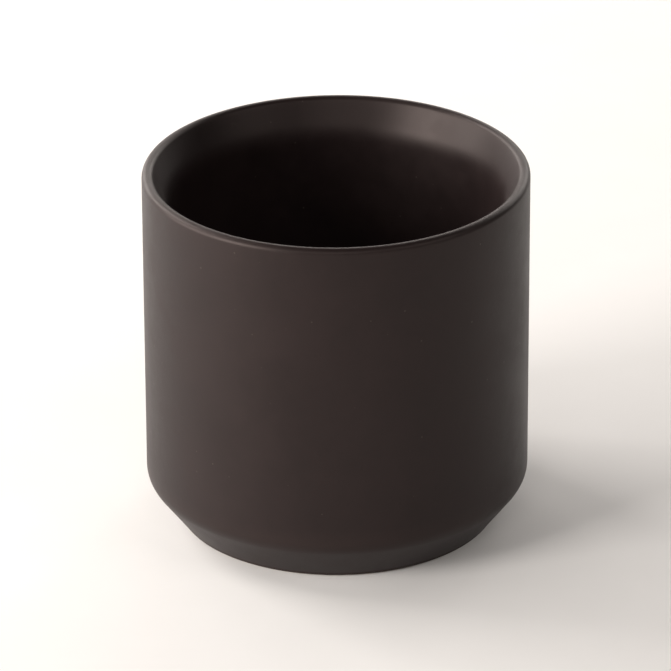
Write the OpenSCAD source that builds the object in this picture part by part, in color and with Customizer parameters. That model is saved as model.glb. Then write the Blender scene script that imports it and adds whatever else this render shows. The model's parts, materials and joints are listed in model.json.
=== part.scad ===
// Empty candle jar: a round stoneware vessel with a flared lip, straight sides and a chamfered base.
// A jar like this has no moving pieces. It is one fired clay body that carries three fired coats of
// glaze: one sprayed over the outside and the rim, one poured round the inside, and one brushed into
// the shallow well under the base. The foot ring is wiped bare, so the jar stands on clay.
// Origin: centre of the base, on the surface that the jar stands on. +Z is up. Millimetres.

/* [Jar] */
// Outside diameter of the straight side, glaze included
jar_d = 80; // [60:1:120]
// Height from the table to the top of the rim
jar_h = 76.6; // [55:0.2:140]
// Thickness of the straight wall, both glazes included
wall_t = 5.4; // [3.6:0.1:7]
// Height of the inside floor above the table, glaze included
floor_h = 6; // [4.5:0.1:10]
// Radius between the inside wall and the inside floor
floor_corner_r = 6; // [2:0.5:12]

/* [Chamfered base] */
// Height of the chamfer, measured to where it would meet the side without rounding
chamfer_h = 9.2; // [5:0.1:14]
// How far the chamfer runs in from the side
chamfer_in = 7; // [3:0.1:9]
// Radius of the soft shoulder between the side and the chamfer
shoulder_r = 4.5; // [1:0.1:8]

/* [Rim and lip] */
// Width of the rim, which is rounded right over from the outside to the flared lip
rim_w = 2; // [1.2:0.05:2.4]
// Depth of the flared lip below the top of the rim
lip_drop = 6.7; // [5:0.1:12]
// Radius where the flared lip rolls into the inside wall
lip_roll_r = 9; // [2:0.5:14]

/* [Foot] */
// Width of the bare ring that the jar stands on
foot_w = 3.8; // [2.5:0.1:6]
// Radius of the foot ring's outer edge
heel_r = 0.6; // [0.3:0.05:0.75]
// Depth of the well under the base
well_depth = 1.4; // [1:0.1:2.5]
// How far the sloping side of the well runs in from the foot ring
well_slope = 1; // [0.5:0.1:2]

/* [Glaze] */
// Thickness of each fired coat of glaze
glaze_t = 0.4; // [0.2:0.05:0.6]
// Height above the table at which the outside glaze is wiped off the foot
wipe_h = 0.3; // [0.25:0.05:0.8]
// Depth below the top of the rim at which the outside glaze meets the inside glaze
glaze_seam = 2; // [1.5:0.1:3]

/* [Hidden] */

$fn = 96;
// Angle that each straight step turns through along a rounded stretch of a profile
arc_step = 8;

jar_r = jar_d / 2;
well_r = jar_r - wall_t;

// Angle of the chamfer's outward normal below the horizontal
chamfer_tilt = atan2(chamfer_in, chamfer_h);
// Angle of the flared lip away from the vertical
flare = atan2(jar_r - rim_w - well_r, lip_drop);

// The rim's one radius fills its whole width
rim_r = rim_w / (1 + tan((90 - flare) / 2));

// Heights of the arc centres, each tangent to the straight lines on both sides of it
shoulder_z = chamfer_h + shoulder_r * tan(chamfer_tilt / 2);
lip_roll_z = jar_h - lip_drop - lip_roll_r * tan(flare / 2);
floor_corner_z = floor_h + floor_corner_r;

// The clay's own chamfer meets the table here, before its edge is rounded
clay_base_r = jar_r - chamfer_in - glaze_t / cos(chamfer_tilt);
heel_x = clay_base_r - heel_r * tan((90 - chamfer_tilt) / 2);
foot_inner_r = clay_base_r - foot_w;
well_top_r = foot_inner_r - well_slope;

// Every profile is a list of [radius, height] points. Depth is measured into the clay from the
// finished surface, so depth 0 is the glazed surface and depth glaze_t is the clay under it.
function arc(x, z, r, from, to) =
    let (steps = ceil(abs(to - from) / arc_step))
    [for (i = [0 : steps]) let (a = from + (to - from) * i / steps) [x + r * cos(a), z + r * sin(a)]];

// Where the chamfer, at a depth, passes through a height
function chamfer_x(depth, z) =
    jar_r - chamfer_in - depth / cos(chamfer_tilt) + z * tan(chamfer_tilt);

// Shoulder and side, from the chamfer up
function side(depth) = arc(jar_r - shoulder_r, shoulder_z, shoulder_r - depth, -chamfer_tilt, 0);

// Rounded rim, from the side up to its highest point and over to the flared lip
function rim(depth) = concat(
    arc(jar_r - rim_r, jar_h - rim_r, rim_r - depth, 0, 90),
    arc(jar_r - rim_r, jar_h - rim_r, rim_r - depth, 90, 180 - flare));

// Where the flared lip, at a depth, passes through a height
function lip_x(depth, z) =
    well_r + depth / cos(flare) + (z - jar_h + lip_drop) * tan(flare);

// Lip roll, inside wall, inside corner and floor, from the flared lip down to the axis
function inside(depth) = concat(
    arc(well_r + lip_roll_r, lip_roll_z, lip_roll_r - depth, 180 - flare, 180),
    arc(well_r - floor_corner_r, floor_corner_z, floor_corner_r + depth, 0, -90),
    [[0, floor_h - depth]]);

function reversed(points) = [for (i = [len(points) - 1 : -1 : 0]) points[i]];

// Two arcs that meet share a point, which is kept once
function distinct(points) =
    [for (i = [0 : len(points) - 1]) if (i == 0 || norm(points[i] - points[i - 1]) > 0.001) points[i]];

module turned(points) {
    rotate_extrude() polygon(distinct(points));
}

// A coat of glaze fills the space between the finished surface and the clay
module coat(surface, clay) {
    turned(concat(surface, reversed(clay)));
}

module clay_body() {
    heel = arc(heel_x, heel_r, heel_r, -90, -chamfer_tilt);
    foot_well = [[0, well_depth], [well_top_r, well_depth], [foot_inner_r, 0]];
    color("#cbb79c")
        turned(concat(foot_well, heel, side(glaze_t), rim(glaze_t), inside(glaze_t)));
}

module outside_glaze() {
    seam_z = jar_h - glaze_seam;
    surface = concat([[chamfer_x(0, wipe_h), wipe_h]], side(0), rim(0), [[lip_x(0, seam_z), seam_z]]);
    clay = concat([[chamfer_x(glaze_t, wipe_h), wipe_h]], side(glaze_t), rim(glaze_t),
        [[lip_x(glaze_t, seam_z), seam_z]]);
    color("#2e2726") coat(surface, clay);
}

module inside_glaze() {
    seam_z = jar_h - glaze_seam;
    surface = concat([[lip_x(0, seam_z), seam_z]], inside(0));
    clay = concat([[lip_x(glaze_t, seam_z), seam_z]], inside(glaze_t));
    color("#241e1d") coat(surface, clay);
}

module base_well_glaze() {
    surface_r = well_top_r + well_slope * glaze_t / well_depth;
    surface_z = well_depth - glaze_t;
    color("#2e2726")
        turned([[0, surface_z], [surface_r, surface_z], [well_top_r, well_depth], [0, well_depth]]);
}

clay_body();
outside_glaze();
inside_glaze();
base_well_glaze();
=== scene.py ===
# %% [markdown]
# # An empty candle jar in matte black stoneware
#
# The object is a plain round vessel: straight sides, a chamfered base, and a lip that flares open at
# the top. It is one piece of fired clay with three coats of glaze on it. A shape like this comes off a
# wheel or out of a turned mould, so almost all of it follows one rule: an outline, turned once about
# the axis. The lesson builds that rule first, as a small Geometry Nodes tree, and then every piece is
# a short outline that goes through it.
#
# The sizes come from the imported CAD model, which is loaded as a fixed frame. The pieces made here stand
# in for its nodes, in the same place and at the same size, with smoother curves and finished surfaces.

# %% Load the frame
import functools
import json
import math

import bpy
from mathutils import Matrix, Vector

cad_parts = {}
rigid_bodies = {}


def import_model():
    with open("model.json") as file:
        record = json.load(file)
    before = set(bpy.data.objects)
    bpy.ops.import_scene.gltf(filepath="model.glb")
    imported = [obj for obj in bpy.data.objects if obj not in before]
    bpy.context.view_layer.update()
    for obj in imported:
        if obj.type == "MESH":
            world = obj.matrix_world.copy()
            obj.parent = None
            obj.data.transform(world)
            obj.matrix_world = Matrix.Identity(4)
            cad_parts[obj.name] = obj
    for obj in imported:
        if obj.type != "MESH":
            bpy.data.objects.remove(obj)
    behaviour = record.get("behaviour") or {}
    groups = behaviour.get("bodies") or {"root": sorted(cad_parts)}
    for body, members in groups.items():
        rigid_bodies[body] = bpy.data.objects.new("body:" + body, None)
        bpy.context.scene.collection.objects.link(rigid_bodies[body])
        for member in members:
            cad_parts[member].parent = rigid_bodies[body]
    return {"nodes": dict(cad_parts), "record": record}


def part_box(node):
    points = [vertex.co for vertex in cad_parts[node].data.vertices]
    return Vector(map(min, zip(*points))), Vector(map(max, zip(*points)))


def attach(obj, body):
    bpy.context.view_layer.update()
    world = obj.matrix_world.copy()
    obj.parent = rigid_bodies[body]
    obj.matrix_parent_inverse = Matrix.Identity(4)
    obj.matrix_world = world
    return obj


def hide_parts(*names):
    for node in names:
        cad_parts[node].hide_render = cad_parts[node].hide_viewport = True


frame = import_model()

bpy.context.view_layer.update()
print("CAD nodes:", ", ".join(sorted(frame["nodes"])))

# %% [markdown]
# ## Sizes
#
# Blender works in metres here, so a millimetre gets a short name. Each size that the frame can tell is
# read from a node's box or from the stated mount. The others, such as the chamfer's, are the designer's
# own and are named once.

# %% Read the jar's sizes from the frame
MM = 0.001
outside_low, outside_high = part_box("outside_glaze")
inside_low, inside_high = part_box("inside_glaze")
clay_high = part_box("clay_body")[1]
pool_low, pool_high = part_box("base_well_glaze")
candle_well = {mount["name"]: mount for mount in frame["record"]["mounts"]}["candle_well"]

jar_r = outside_high.y
jar_h = outside_high.z
glaze_t = jar_h - clay_high.z
well_r = candle_well["dims"]["r_mm"] * MM
floor_h = inside_low.z + glaze_t
seam_z = inside_high.z
wipe_h = outside_low.z
pool_z = pool_low.z
foot_well_h = pool_high.z
floor_corner_z = candle_well["pos_m"][2] - candle_well["dims"]["length_mm"] * MM / 2
print(f"jar {2 * jar_r / MM:.1f} mm across, {jar_h / MM:.1f} mm tall, glaze {glaze_t / MM:.2f} mm thick")

# %% Name the designer's own sizes
chamfer_h = 9.2 * MM
chamfer_in = 7 * MM
shoulder_r = 4.5 * MM
rim_w = 2 * MM
lip_drop = 6.7 * MM
lip_roll_r = 9 * MM
foot_w = 3.8 * MM
heel_r = 0.6 * MM
well_slope = 1 * MM

chamfer_tilt = math.atan2(chamfer_in, chamfer_h)
flare = math.atan2(jar_r - rim_w - well_r, lip_drop)
rim_r = rim_w / (1 + math.tan((math.pi / 2 - flare) / 2))
shoulder_z = chamfer_h + shoulder_r * math.tan(chamfer_tilt / 2)
lip_roll_z = jar_h - lip_drop - lip_roll_r * math.tan(flare / 2)
floor_corner_r = floor_corner_z - floor_h
print(f"chamfer leans {math.degrees(chamfer_tilt):.1f}, lip flares {math.degrees(flare):.1f} degrees")

# %% [markdown]
# ## Outlines
#
# An outline is a chain of points, each a radius and a height. It could be drawn by hand, but then two
# pieces that touch would need the same points typed twice. Here each stretch is a function of depth:
# depth 0 is the finished surface, and depth `glaze_t` is the clay under the glaze. Both sides of a coat
# come from the same arcs, so the coat has an even thickness and lies exactly on the clay.
#
# Long straight stretches are cut into short steps, because the finished wall is going to sway a little
# and a mesh can only bend where it has points.

# %% Stretches of outline
ARC_STEP = math.radians(6)
WALL_STEP = 1 * MM
SAME_PLACE = 0.001 * MM


def arc(x, z, r, start, end):
    """Points along an arc round a centre, from one angle to another."""
    steps = max(1, math.ceil(abs(end - start) / ARC_STEP))
    angles = [start + (end - start) * i / steps for i in range(steps + 1)]
    return [(x + r * math.cos(a), z + r * math.sin(a)) for a in angles]


def joined(*stretches):
    """One chain through the stretches, with steps along each straight gap between them."""
    chain = [stretches[0][0]]
    for x, z in [point for stretch in stretches for point in stretch][1:]:
        last_x, last_z = chain[-1]
        gap = math.dist((x, z), (last_x, last_z))
        if gap < SAME_PLACE:
            continue
        steps = math.ceil(gap / WALL_STEP)
        chain += [
            (last_x + (x - last_x) * i / steps, last_z + (z - last_z) * i / steps)
            for i in range(1, steps + 1)
        ]
    return chain


# %% The jar's own stretches, at any depth below the finished surface
def chamfer_x(depth, z):
    return jar_r - chamfer_in - depth / math.cos(chamfer_tilt) + z * math.tan(chamfer_tilt)


def side(depth):
    return arc(jar_r - shoulder_r, shoulder_z, shoulder_r - depth, -chamfer_tilt, 0)


def rim(depth):
    return arc(jar_r - rim_r, jar_h - rim_r, rim_r - depth, 0, math.pi - flare)


def lip_x(depth, z):
    return well_r + depth / math.cos(flare) + (z - jar_h + lip_drop) * math.tan(flare)


def inside(depth):
    lip_roll = arc(well_r + lip_roll_r, lip_roll_z, lip_roll_r - depth, math.pi - flare, math.pi)
    corner = arc(well_r - floor_corner_r, floor_corner_z, floor_corner_r + depth, 0, -math.pi / 2)
    return lip_roll + corner + [(0, floor_h - depth)]


# %% [markdown]
# ## The wheel: a Geometry Nodes tree that turns an outline
#
# A lathe modifier or the Spin tool could turn the outline too. A node tree is used instead, because it
# can do three more things on the way: shade the sharp edges sharp, keep a value that was written on the
# outline, and let the wall lean and sway. No fired pot is perfectly true, as clay moves a little when
# it dries and shrinks. All four pieces go through this one tree with the same seed, so they move
# together and still fit.
#
# The tree lays down a flat grid with one row for each outline point and one column for each step of the
# turn. It then moves every grid point to its place, and merges the points that land together, which
# closes the seam and the middle.

# %% A helper that adds one node
def add(tree, kind, inputs=None, **settings):
    """Adds a node. An input is named or numbered, and takes a plain value or another node's output."""
    made = tree.nodes.new(kind)
    for name, value in settings.items():
        setattr(made, name, value)
    for name, value in (inputs or {}).items():
        if isinstance(value, bpy.types.NodeSocket):
            tree.links.new(value, made.inputs[name])
        else:
            made.inputs[name].default_value = value
    return made


def calculate(tree, operation, *values):
    return add(tree, "ShaderNodeMath", dict(enumerate(values)), operation=operation).outputs[0]


def vector_math(tree, operation, *values):
    """The vector result, or the number where the operation gives one."""
    made = add(tree, "ShaderNodeVectorMath", dict(enumerate(values)), operation=operation)
    return made.outputs["Value" if operation == "LENGTH" else "Vector"]


def total(tree, *terms):
    """Adds terms, each a pair of an output and its weight."""
    weighted = [calculate(tree, "MULTIPLY", value, weight) for value, weight in terms]
    return functools.reduce(lambda a, b: calculate(tree, "ADD", a, b), weighted)


def new_group(name, kind, sockets_in, sockets_out):
    """Makes a node group with named inputs and outputs, each given as name: (type, default)."""
    tree = bpy.data.node_groups.new(name, kind)
    for direction, sockets in (("INPUT", sockets_in), ("OUTPUT", sockets_out)):
        for socket_name, (socket_type, default) in sockets.items():
            socket = tree.interface.new_socket(socket_name, in_out=direction, socket_type=socket_type)
            if default is not None:
                socket.default_value = default
    return tree, add(tree, "NodeGroupInput").outputs, add(tree, "NodeGroupOutput").inputs


# %% Build the wheel
FLOAT, INTEGER, VECTOR = "NodeSocketFloat", "NodeSocketInt", "NodeSocketVector"
GEOMETRY, MATERIAL = "NodeSocketGeometry", "NodeSocketMaterial"

wheel, given, result = new_group(
    "Turn on the wheel", "GeometryNodeTree",
    {
        "Outline": (GEOMETRY, None),
        "Steps Round": (INTEGER, 288),
        "Jar Radius": (FLOAT, jar_r),
        "Jar Height": (FLOAT, jar_h),
        "Wall Sway": (FLOAT, 0.06 * MM),
        "Rim Sway": (FLOAT, 0.10 * MM),
        "Sway Size": (FLOAT, 55 * MM),
        "Lean": (FLOAT, 0.26 * MM),
        "Sharp Angle": (FLOAT, math.radians(35)),
        "Seed": (INTEGER, 4),
        "Finish": (MATERIAL, None),
    },
    {"Piece": (GEOMETRY, None)},
)
wheel.is_modifier = True


def turned_grid(tree):
    """A grid of outline points by steps round, moved to its place, with the outline's edge value."""
    counts = add(tree, "GeometryNodeAttributeDomainSize", {"Geometry": given["Outline"]})
    rows = counts.outputs["Point Count"]
    columns = calculate(tree, "ADD", given["Steps Round"], 1)
    grid = add(tree, "GeometryNodeMeshGrid", {"Vertices X": rows, "Vertices Y": columns}).outputs["Mesh"]
    index = add(tree, "GeometryNodeInputIndex").outputs["Index"]
    row = calculate(tree, "FLOOR", calculate(tree, "DIVIDE", index, columns))
    column = calculate(tree, "SUBTRACT", index, calculate(tree, "MULTIPLY", row, columns))
    angle = calculate(tree, "MULTIPLY", calculate(tree, "DIVIDE", column, given["Steps Round"]), math.tau)

    position = add(tree, "GeometryNodeInputPosition").outputs[0]
    point = add(
        tree, "GeometryNodeSampleIndex",
        {"Geometry": given["Outline"], "Value": position, "Index": row}, data_type="FLOAT_VECTOR")
    radius_and_height = add(tree, "ShaderNodeSeparateXYZ", {0: point.outputs[0]}).outputs
    radius = radius_and_height["X"]
    place = add(tree, "ShaderNodeCombineXYZ", {
        "X": calculate(tree, "MULTIPLY", radius, calculate(tree, "COSINE", angle)),
        "Y": calculate(tree, "MULTIPLY", radius, calculate(tree, "SINE", angle)),
        "Z": radius_and_height["Z"],
    }).outputs[0]

    edge = add(tree, "GeometryNodeInputNamedAttribute", {"Name": "thin_glaze"}, data_type="FLOAT")
    edge_here = add(
        tree, "GeometryNodeSampleIndex",
        {"Geometry": given["Outline"], "Value": edge.outputs["Attribute"], "Index": row},
        data_type="FLOAT")
    marked = add(
        tree, "GeometryNodeStoreNamedAttribute",
        {"Geometry": grid, "Name": "thin_glaze", "Value": edge_here.outputs[0]},
        data_type="FLOAT", domain="POINT")
    moved = add(tree, "GeometryNodeSetPosition", {"Geometry": marked.outputs[0], "Position": place})
    merged = add(
        tree, "GeometryNodeMergeByDistance", {"Geometry": moved.outputs[0], "Distance": 2 * SAME_PLACE})
    return merged.outputs[0]


def swayed(tree, geometry):
    """Leans the wall and sways it by a soft noise, always inside the frame's size."""
    position = add(tree, "GeometryNodeInputPosition").outputs[0]
    across = vector_math(tree, "MULTIPLY", position, (1, 1, 0))
    height = add(tree, "ShaderNodeSeparateXYZ", {0: position}).outputs["Z"]
    share = calculate(tree, "DIVIDE", height, given["Jar Height"])
    scale = calculate(tree, "DIVIDE", 1, given["Sway Size"])
    wall_noise = add(
        tree, "ShaderNodeTexNoise",
        {"Vector": position, "W": given["Seed"], "Scale": scale, "Detail": 1.0}, noise_dimensions="4D")
    rim_noise = add(
        tree, "ShaderNodeTexNoise",
        {"Vector": across, "W": calculate(tree, "ADD", given["Seed"], 10), "Scale": scale, "Detail": 0.0},
        noise_dimensions="4D")

    pull = total(tree, (wall_noise.outputs[0], given["Wall Sway"]), (given["Lean"], 0.5))
    pull = calculate(tree, "DIVIDE", pull, given["Jar Radius"])
    inwards = add(
        tree, "ShaderNodeVectorMath", {0: across, "Scale": calculate(tree, "MULTIPLY", pull, -1)},
        operation="SCALE").outputs[0]
    sideways = calculate(tree, "MULTIPLY", given["Lean"], calculate(tree, "SUBTRACT", share, 0.5))
    drop = calculate(tree, "MULTIPLY", rim_noise.outputs[0], given["Rim Sway"])
    drop = calculate(tree, "MULTIPLY", drop, calculate(tree, "POWER", share, 2))
    shifted = add(tree, "ShaderNodeCombineXYZ", {
        "X": sideways,
        "Z": calculate(tree, "MULTIPLY", drop, -1),
    }).outputs[0]
    offset = vector_math(tree, "ADD", inwards, shifted)
    return add(tree, "GeometryNodeSetPosition", {"Geometry": geometry, "Offset": offset}).outputs[0]


def shaded(tree, geometry):
    """Smooth faces, with the edges that turn sharply kept sharp."""
    smooth = add(
        tree, "GeometryNodeSetShadeSmooth", {"Geometry": geometry, "Shade Smooth": True}, domain="FACE")
    turn = add(tree, "GeometryNodeInputMeshEdgeAngle").outputs["Unsigned Angle"]
    sharp = calculate(tree, "GREATER_THAN", turn, given["Sharp Angle"])
    return add(
        tree, "GeometryNodeSetShadeSmooth",
        {"Geometry": smooth.outputs[0], "Selection": sharp, "Shade Smooth": False},
        domain="EDGE").outputs[0]


solid = shaded(wheel, swayed(wheel, turned_grid(wheel)))
real = add(wheel, "GeometryNodeRealizeInstances", {"Geometry": solid}).outputs[0]
finished = add(wheel, "GeometryNodeSetMaterial", {"Geometry": real, "Material": given["Finish"]}).outputs[0]
wheel.links.new(finished, result["Piece"])
wheel_inputs = [item.name for item in wheel.interface.items_tree if item.in_out == "INPUT"]
print("wheel inputs:", ", ".join(wheel_inputs))

# %% Turn one outline into a plain mesh
def socket_of(tree, name):
    """The identifier that a modifier needs in order to set a named input."""
    return next(item.identifier for item in tree.interface.items_tree if item.name == name)


def turn(name, outline, finish, thin_glaze=None):
    """Turns an outline, given in order round its solid, into a plain mesh at the origin."""
    mesh = bpy.data.meshes.new(name)
    chain = [(i, i + 1) for i in range(len(outline) - 1)]
    mesh.from_pydata([(x, 0, z) for x, z in outline], chain, [])
    values = mesh.attributes.new("thin_glaze", "FLOAT", "POINT")
    values.data.foreach_set("value", thin_glaze or [0.0] * len(outline))
    piece = bpy.data.objects.new(name, mesh)
    bpy.context.scene.collection.objects.link(piece)

    modifier = piece.modifiers.new("wheel", "NODES")
    modifier.node_group = wheel
    modifier[socket_of(wheel, "Finish")] = finish
    evaluated = piece.evaluated_get(bpy.context.evaluated_depsgraph_get())
    piece.data = bpy.data.meshes.new_from_object(evaluated)
    piece.modifiers.clear()
    bpy.data.meshes.remove(mesh)
    piece.data.name = name
    piece.data.materials.clear()
    piece.data.materials.append(finish)
    return piece


# %% [markdown]
# ## Surface effects that several finishes share
#
# Fired surfaces look rich because of small things: faint clouds where the glaze lay thicker, specks of
# iron, a fine grain that scatters the light, hairline scuffs. Each of these is a shader node group,
# built once and placed in each material with its own sizes. A group only gives out a share, a mask or a
# height that changes over the surface, and the shader itself stays in the material, where it can be
# exported.
#
# The groups read object coordinates in metres, so every size is a real one.

# %% Clouds: slow, soft changes of shade
def soft_noise(tree, vector, size, detail):
    scale = calculate(tree, "DIVIDE", 1, size)
    return add(
        tree, "ShaderNodeTexNoise", {"Vector": vector, "Scale": scale, "Detail": detail, "Roughness": 0.55}
    ).outputs[0]


def ramp(tree, value, low, high):
    """Maps low..high to 0..1 with a soft start and end."""
    return add(
        tree, "ShaderNodeMapRange", {"Value": value, "From Min": low, "From Max": high},
        interpolation_type="SMOOTHSTEP").outputs[0]


clouds, given, result = new_group(
    "Clouds", "ShaderNodeTree",
    {"Vector": (VECTOR, None), "Size": (FLOAT, 12 * MM)},
    {"Value": (FLOAT, None)})
broad = soft_noise(clouds, given["Vector"], given["Size"], 2.0)
fine = soft_noise(clouds, given["Vector"], calculate(clouds, "MULTIPLY", given["Size"], 0.22), 3.0)
clouds.links.new(ramp(clouds, total(clouds, (broad, 0.65), (fine, 0.35)), 0.3, 0.7), result["Value"])

# %% Specks: one small round dot in some of the cells of a Voronoi pattern
specks, given, result = new_group(
    "Specks", "ShaderNodeTree",
    {
        "Vector": (VECTOR, None),
        "Spacing": (FLOAT, 1.2 * MM),
        "Share": (FLOAT, 0.3),
        "Radius": (FLOAT, 0.2),
    },
    {"Mask": (FLOAT, None)})
cells = add(specks, "ShaderNodeTexVoronoi", {
    "Vector": given["Vector"],
    "Scale": calculate(specks, "DIVIDE", 1, given["Spacing"]),
})
luck = add(specks, "ShaderNodeSeparateColor", {0: cells.outputs["Color"]}).outputs
chosen = calculate(specks, "LESS_THAN", luck["Red"], given["Share"])
speck_r = calculate(specks, "MULTIPLY", given["Radius"], calculate(specks, "ADD", luck["Green"], 0.3))
depth_in = calculate(specks, "SUBTRACT", 1, calculate(specks, "DIVIDE", cells.outputs["Distance"], speck_r))
specks.links.new(calculate(specks, "MULTIPLY", chosen, ramp(specks, depth_in, 0, 0.6)), result["Mask"])

# %% Grain: the fine roughness of a matte surface, as a height
grain, given, result = new_group(
    "Grain", "ShaderNodeTree",
    {"Vector": (VECTOR, None), "Size": (FLOAT, 0.3 * MM)},
    {"Height": (FLOAT, None)})
coarse = soft_noise(grain, given["Vector"], given["Size"], 2.0)
powder = soft_noise(grain, given["Vector"], calculate(grain, "MULTIPLY", given["Size"], 0.35), 1.0)
grain.links.new(total(grain, (coarse, 0.7), (powder, 0.3)), result["Height"])

# %% Scuffs: hairlines where a stretched noise crosses its middle value
scuffs, given, result = new_group(
    "Scuffs", "ShaderNodeTree",
    {
        "Vector": (VECTOR, None),
        "Stretch": (VECTOR, (1, 1, 6)),
        "Spacing": (FLOAT, 7 * MM),
        "Width": (FLOAT, 0.012),
        "Share": (FLOAT, 0.35),
    },
    {"Mask": (FLOAT, None)})
stretched = vector_math(scuffs, "DIVIDE", given["Vector"], given["Stretch"])
wander = soft_noise(scuffs, stretched, given["Spacing"], 1.0)
off_line = calculate(scuffs, "ABSOLUTE", calculate(scuffs, "SUBTRACT", wander, 0.5))
line = calculate(scuffs, "SUBTRACT", 1, calculate(scuffs, "DIVIDE", off_line, given["Width"]))
patches = soft_noise(scuffs, given["Vector"], calculate(scuffs, "MULTIPLY", given["Spacing"], 1.3), 1.0)
shown = ramp(scuffs, patches, calculate(scuffs, "SUBTRACT", 0.85, given["Share"]), 0.85)
scuffs.links.new(calculate(scuffs, "MULTIPLY", ramp(scuffs, line, 0, 1), shown), result["Mask"])
print("effects:", ", ".join(group.name for group in (clouds, specks, grain, scuffs)))

# %% [markdown]
# ## The finishes
#
# The glaze is a satin-matte black. A matte glaze isn't simply rough paint: it is a dark body that shines
# a little at a grazing angle, it turns a touch browner where it thins over an edge, and it holds
# specks. The outline of each coat carries a `thin_glaze` value for those edges, which the wheel keeps,
# so the colour turns exactly where the shape does.

# %% Helpers for materials
def new_material(name):
    """An empty material, its Principled shader, and the object coordinates that its patterns read."""
    made = bpy.data.materials.new(name)
    made.use_nodes = True
    shader = made.node_tree.nodes["Principled BSDF"]
    place = add(made.node_tree, "ShaderNodeTexCoord").outputs["Object"]
    return made, made.node_tree, shader, place


def effect(tree, group, **inputs):
    """Places a shared effect and gives its one output."""
    made = add(tree, "ShaderNodeGroup", node_tree=group)
    for name, value in inputs.items():
        if isinstance(value, bpy.types.NodeSocket):
            tree.links.new(value, made.inputs[name])
        else:
            made.inputs[name].default_value = value
    return made.outputs[0]


def blended(tree, share, below, above, strength=1.0):
    """The colour above laid over the colour below, by a share."""
    if strength != 1.0:
        share = calculate(tree, "MULTIPLY", share, strength)
    mix = add(tree, "ShaderNodeMix", {"Factor": share}, data_type="RGBA")
    for socket, colour in (("A", below), ("B", above)):
        target = next(s for s in mix.inputs if s.name == socket and s.type == "RGBA")
        if isinstance(colour, bpy.types.NodeSocket):
            tree.links.new(colour, target)
        else:
            target.default_value = (*colour, 1)
    return next(s for s in mix.outputs if s.type == "RGBA")


def bumped(tree, shader, height, depth):
    """Feeds a height, worth depth at 1, through a Bump node to the shader's normal."""
    bump = add(tree, "ShaderNodeBump", {"Strength": 1.0, "Distance": depth, "Height": height})
    tree.links.new(bump.outputs[0], shader.inputs["Normal"])


# %% The glazes
BLACK = (0.0100, 0.0062, 0.0063)
WARM_BLACK = (0.0138, 0.0086, 0.0086)
THIN_BROWN = (0.024, 0.0155, 0.0140)
PALE_SPECK = (0.075, 0.062, 0.054)
DARK_SPECK = (0.004, 0.003, 0.003)
SPECULAR_TINT = (1.0, 0.855, 0.814, 1)
SHINE = 0.3


def glaze(name, roughness, cloud_size):
    """A satin-matte black glaze with faint clouds, specks, a fine grain and upright hairlines."""
    made, tree, shader, place = new_material(name)
    cloudy = effect(tree, clouds, Vector=place, Size=cloud_size)
    thin = add(tree, "ShaderNodeAttribute", attribute_name="thin_glaze").outputs["Fac"]
    pale = effect(tree, specks, Vector=place, Spacing=1.7 * MM, Share=0.10, Radius=0.13)
    dark = effect(tree, specks, Vector=place, Spacing=0.9 * MM, Share=0.25, Radius=0.22)
    upright = effect(tree, scuffs, Vector=place, Stretch=(1, 1, 7), Spacing=6 * MM, Width=0.008, Share=0.22)
    fine_grain = effect(tree, grain, Vector=place, Size=0.28 * MM)
    ripple = effect(tree, clouds, Vector=place, Size=3.5 * MM)

    colour = blended(tree, cloudy, BLACK, WARM_BLACK)
    colour = blended(tree, thin, colour, THIN_BROWN, 0.8)
    colour = blended(tree, dark, colour, DARK_SPECK, 0.6)
    colour = blended(tree, pale, colour, PALE_SPECK, 0.5)
    colour = blended(tree, upright, colour, PALE_SPECK, 0.10)
    tree.links.new(colour, shader.inputs["Base Color"])

    wear = total(tree, (cloudy, 0.07), (thin, -0.05), (fine_grain, 0.10), (upright, -0.06), (dark, -0.08))
    tree.links.new(calculate(tree, "ADD", wear, roughness), shader.inputs["Roughness"])
    height = total(tree, (fine_grain, 0.35), (ripple, 0.5), (dark, -0.25), (upright, -0.1))
    bumped(tree, shader, height, 0.012 * MM)
    shader.inputs["Specular IOR Level"].default_value = SHINE
    shader.inputs["Specular Tint"].default_value = SPECULAR_TINT
    return made


# %% The bare clay
BUFF = (0.50, 0.385, 0.265)
SANDY = (0.60, 0.48, 0.345)
RUST = (0.20, 0.105, 0.055)
CLAY_ROUGHNESS = 0.72


def bare_clay():
    """Fired buff stoneware, sanded flat on a wheel: round scratches, iron specks and open grain."""
    made, tree, shader, place = new_material("bare_buff_stoneware")
    cloudy = effect(tree, clouds, Vector=place, Size=9 * MM)
    iron = effect(tree, specks, Vector=place, Spacing=1.1 * MM, Share=0.22, Radius=0.20)
    sand = effect(tree, grain, Vector=place, Size=0.45 * MM)
    radius = vector_math(tree, "LENGTH", vector_math(tree, "MULTIPLY", place, (1, 1, 0)))
    rings = add(
        tree, "ShaderNodeTexNoise", {"W": radius, "Scale": 1 / (0.25 * MM), "Detail": 2.0},
        noise_dimensions="1D").outputs[0]

    colour = blended(tree, cloudy, BUFF, SANDY)
    colour = blended(tree, rings, colour, BUFF, 0.35)
    colour = blended(tree, iron, colour, RUST, 0.85)
    tree.links.new(colour, shader.inputs["Base Color"])
    roughness = total(tree, (sand, 0.15), (cloudy, 0.08))
    tree.links.new(calculate(tree, "ADD", roughness, CLAY_ROUGHNESS), shader.inputs["Roughness"])
    bumped(tree, shader, total(tree, (sand, 1.0), (rings, 0.5), (iron, -0.6)), 0.05 * MM)
    return made


outside_finish = glaze("satin_black_glaze", 0.38, 14 * MM)
liner_finish = glaze("satin_black_liner", 0.38, 14 * MM)
clay_finish = bare_clay()
print("finishes:", ", ".join(m.name for m in (outside_finish, liner_finish, clay_finish)))

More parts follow.
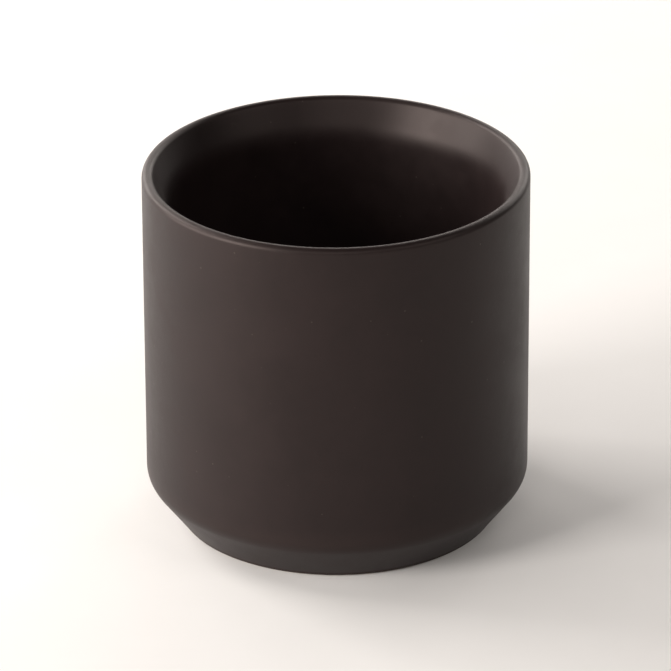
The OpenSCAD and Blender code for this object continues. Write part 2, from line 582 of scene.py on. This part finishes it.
# %% [markdown]
# ## The outside coat
#
# This coat is sprayed on, from the foot over the shoulder, side and rim to just inside the lip. It is
# modelled as a closed skin with its real thickness, not as a colour on the clay, so that its wiped lower
# edge is a real step: a soft round bead that can be seen from below.
#
# The wheel needs the outline in clockwise order, so the coat goes up its hidden side, over the seam on
# the lip, and down its visible side. That order makes the faces point outwards.

# %% Turn the outside coat
def bead(start, end):
    """A half-round edge between two points, to the right of the way from start to end."""
    middle_x, middle_z = (start[0] + end[0]) / 2, (start[1] + end[1]) / 2
    angle = math.atan2(start[1] - middle_z, start[0] - middle_x)
    return arc(middle_x, middle_z, math.dist(start, end) / 2, angle, angle - math.pi)


def thin_where(outline, edges):
    """A value for each point: an edge's own value at its centre, fading to nothing at its reach."""
    return [
        max(value * max(0, 1 - math.dist(point, centre) / reach) for centre, reach, value in edges)
        for point in outline
    ]


seam_outer = (lip_x(0, seam_z), seam_z)
seam_inner = (lip_x(glaze_t, seam_z), seam_z)
bead_z = wipe_h + glaze_t / 2
wiped_outer = (chamfer_x(0, bead_z), bead_z)
wiped_inner = (chamfer_x(glaze_t, bead_z), bead_z)

outside_outline = joined(
    bead(wiped_outer, wiped_inner), side(glaze_t), rim(glaze_t), [seam_inner, seam_outer],
    rim(0)[::-1], side(0)[::-1], [wiped_outer])
rim_edge = ((jar_r - rim_r, jar_h), 2.2 * MM, 0.35)
shoulder_edge = ((jar_r, shoulder_z), 3 * MM, 0.4)
wiped_edge = (wiped_outer, 1.2 * MM, 1.0)
outside_coat = turn(
    "outside_glaze_coat", outside_outline, outside_finish,
    thin_where(outside_outline, [rim_edge, shoulder_edge, wiped_edge]))
print("outside coat:", len(outside_outline), "outline points,", len(outside_coat.data.polygons), "faces")

# %% [markdown]
# ## The inside coat
#
# The liner is poured in, swirled and poured out, so it covers the floor, the wall and the lower lip. It
# meets the outside coat at a seam on the lip. A liquid glaze fills a corner a little: the inside corner
# is already round in the frame, so the coat needs nothing more.

# %% Turn the inside coat
inside_outline = joined(
    [(0, floor_h)], inside(0)[::-1], [seam_outer, seam_inner], inside(glaze_t))
inside_coat = turn("inside_glaze_coat", inside_outline, liner_finish)
print("inside coat:", len(inside_outline), "outline points,", len(inside_coat.data.polygons), "faces")

# %% [markdown]
# ## The clay body
#
# Nearly all of the clay is hidden under glaze, yet it is turned as a whole closed body. Only the bare
# foot ring and the slope beside it ever show. The foot's outer edge is sponged round, and its inner
# edge is only softened, as a fettling knife leaves it.

# %% Turn the clay body
clay_base_r = jar_r - chamfer_in - glaze_t / math.cos(chamfer_tilt)
heel_x = clay_base_r - heel_r * math.tan((math.pi / 2 - chamfer_tilt) / 2)
foot_inner_r = clay_base_r - foot_w
well_top_r = foot_inner_r - well_slope
slope_tilt = math.atan2(well_slope, foot_well_h)
fettled_r = 0.25 * MM


def slope_x(z):
    """Where the sloping side of the base well passes through a height."""
    return foot_inner_r - z * math.tan(slope_tilt)


heel = arc(heel_x, heel_r, heel_r, -chamfer_tilt, -math.pi / 2)
fettled_x = foot_inner_r + fettled_r * math.tan((math.pi / 2 - slope_tilt) / 2)
fettled = arc(fettled_x, fettled_r, fettled_r, -math.pi / 2, slope_tilt - math.pi)
clay_outline = joined(
    inside(glaze_t)[::-1], rim(glaze_t)[::-1], side(glaze_t)[::-1], heel, fettled,
    [(well_top_r, foot_well_h), (0, foot_well_h)])
clay = turn("stoneware_body", clay_outline, clay_finish)
print("clay body:", len(clay_outline), "outline points,", len(clay.data.polygons), "faces")

# %% [markdown]
# ## The glaze in the base well
#
# A brush leaves a shallow pool of glaze in the well under the base. Melted glaze climbs the side that
# holds it, so the pool's edge is a small hollow curve, a meniscus, which ends level with the slope.

# %% Turn the pool of glaze
meniscus_r = 1 * MM
corner_x = slope_x(pool_z)
meniscus_x = corner_x - meniscus_r * math.tan((math.pi / 2 - slope_tilt) / 2)
meniscus = arc(meniscus_x, pool_z - meniscus_r, meniscus_r, slope_tilt, math.pi / 2)
pool_outline = joined(
    [(0, foot_well_h), (well_top_r, foot_well_h)], meniscus, [(0, pool_z)])
pool = turn(
    "base_well_glaze_pool", pool_outline, outside_finish,
    thin_where(pool_outline, [(meniscus[0], 1.4 * MM, 1.0)]))
print("base well glaze:", len(pool_outline), "outline points,", len(pool.data.polygons), "faces")

# %% [markdown]
# ## Joining the pieces to the frame
#
# Nothing on a jar moves, so all four pieces ride on the one body. Each stands for the frame's node of
# the same part, which stays in the physics model but isn't shown.

# %% Ride on the body and replace the frame's nodes
for piece, node, slot in (
    (clay, "clay_body", "stoneware"),
    (outside_coat, "outside_glaze", "matte_black_glaze"),
    (inside_coat, "inside_glaze", "black_liner_glaze"),
    (pool, "base_well_glaze", "matte_black_glaze"),
):
    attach(piece, "root")
    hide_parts(node)
    print(f"{piece.name} stands for {node}, {len(piece.data.polygons)} faces")

# %% [markdown]
# ## Floor, light and camera
#
# The setting is plain: a matte pale floor and a ring of softboxes, with no light from straight above.
# Matte black ceramic takes its shape from what it reflects at a grazing angle, so the boxes do more to
# show it than the glaze's own colour does. The key box is low and to the left in front, where the
# flared lip on the far right mirrors it. The boxes on the left and behind brighten the left side and
# draw the thin bright line along the rim. The right side gets only a weak box and is left in shade.
#
# A softbox's place is given as a photographer would: degrees round the jar, clockwise from the camera,
# and degrees up.

# %% Lay the floor
floor_r = 3.0
floor_sides = 96
floor_gap = 0.02 * MM
floor_mesh = bpy.data.meshes.new("floor")
ring = [
    (floor_r * math.cos(angle), floor_r * math.sin(angle), -floor_gap)
    for angle in (math.tau * i / floor_sides for i in range(floor_sides))
]
floor_mesh.from_pydata(ring, [], [range(floor_sides)])
floor = bpy.data.objects.new("floor", floor_mesh)
bpy.context.scene.collection.objects.link(floor)

floor_finish, tree, shader, place = new_material("pale_studio_floor")
pulp = effect(tree, clouds, Vector=place, Size=60 * MM)
tree.links.new(blended(tree, pulp, (0.84, 0.83, 0.82), (0.82, 0.81, 0.80)), shader.inputs["Base Color"])
shader.inputs["Roughness"].default_value = 0.8
floor_mesh.materials.append(floor_finish)

# %% Light the set
surround = bpy.data.worlds.new("pale_surround")
surround.use_nodes = True
background = surround.node_tree.nodes["Background"]
background.inputs["Color"].default_value = (1.0, 0.97, 0.94, 1)
background.inputs["Strength"].default_value = 0.02
bpy.context.scene.world = surround

LIGHT_COLOUR = (1.0, 0.95, 0.905)
LIGHT_DISTANCE = 1.3
jar_middle = Vector((0, 0, jar_h / 2))


def softbox(name, round_degrees, up_degrees, width, height, watts):
    """A softbox that faces the jar from a compass place and a height."""
    light = bpy.data.lights.new(name, "AREA")
    light.shape = "RECTANGLE"
    light.size = width
    light.size_y = height
    light.energy = watts
    light.color = LIGHT_COLOUR
    lamp = bpy.data.objects.new(name, light)
    bpy.context.scene.collection.objects.link(lamp)
    around, up = math.radians(round_degrees), math.radians(up_degrees)
    along_floor = math.cos(up)
    towards_lamp = Vector((-math.sin(around) * along_floor, -math.cos(around) * along_floor, math.sin(up)))
    lamp.location = jar_middle + towards_lamp * LIGHT_DISTANCE
    lamp.rotation_euler = (-towards_lamp).to_track_quat("-Z", "Y").to_euler()


softbox("key_softbox", 59, 20, 0.50, 0.55, 16.0)
softbox("left_softbox", 90, 12, 0.80, 0.45, 10.7)
softbox("left_back_high_softbox", 120, 36, 0.70, 0.50, 11.0)
softbox("left_back_low_softbox", 145, 12, 0.70, 0.40, 4.8)
softbox("back_softbox", 180, 24, 1.30, 0.36, 6.5)
softbox("right_back_softbox", 215, 20, 0.70, 0.60, 4.0)
softbox("right_softbox", 300, 35, 0.70, 0.50, 2.5)
softbox("front_softbox", 0, 35, 0.70, 0.50, 2.7)

# %% Place the camera
camera_data = bpy.data.cameras.new("camera")
camera_data.lens = 324.3
camera_data.sensor_width = 36
camera_data.shift_x = -0.0017
camera_data.shift_y = 0.0042
camera_data.clip_start = 0.01
camera_data.clip_end = 20
camera = bpy.data.objects.new("camera", camera_data)
bpy.context.scene.collection.objects.link(camera)

elevation = math.radians(25.45)
camera_distance = 1.254
roll = math.radians(-0.44)
away_from_jar = Vector((0, -math.cos(elevation), math.sin(elevation)))
camera_place = jar_middle + away_from_jar * camera_distance
facing = (-away_from_jar).to_track_quat("-Z", "Y").to_matrix().to_4x4()
camera.matrix_world = Matrix.Translation(camera_place) @ facing @ Matrix.Rotation(roll, 4, "Z")
bpy.context.scene.camera = camera
bpy.context.scene.view_settings.view_transform = "Standard"
print(f"camera {camera_distance} m away, {math.degrees(elevation):.1f} degrees up")
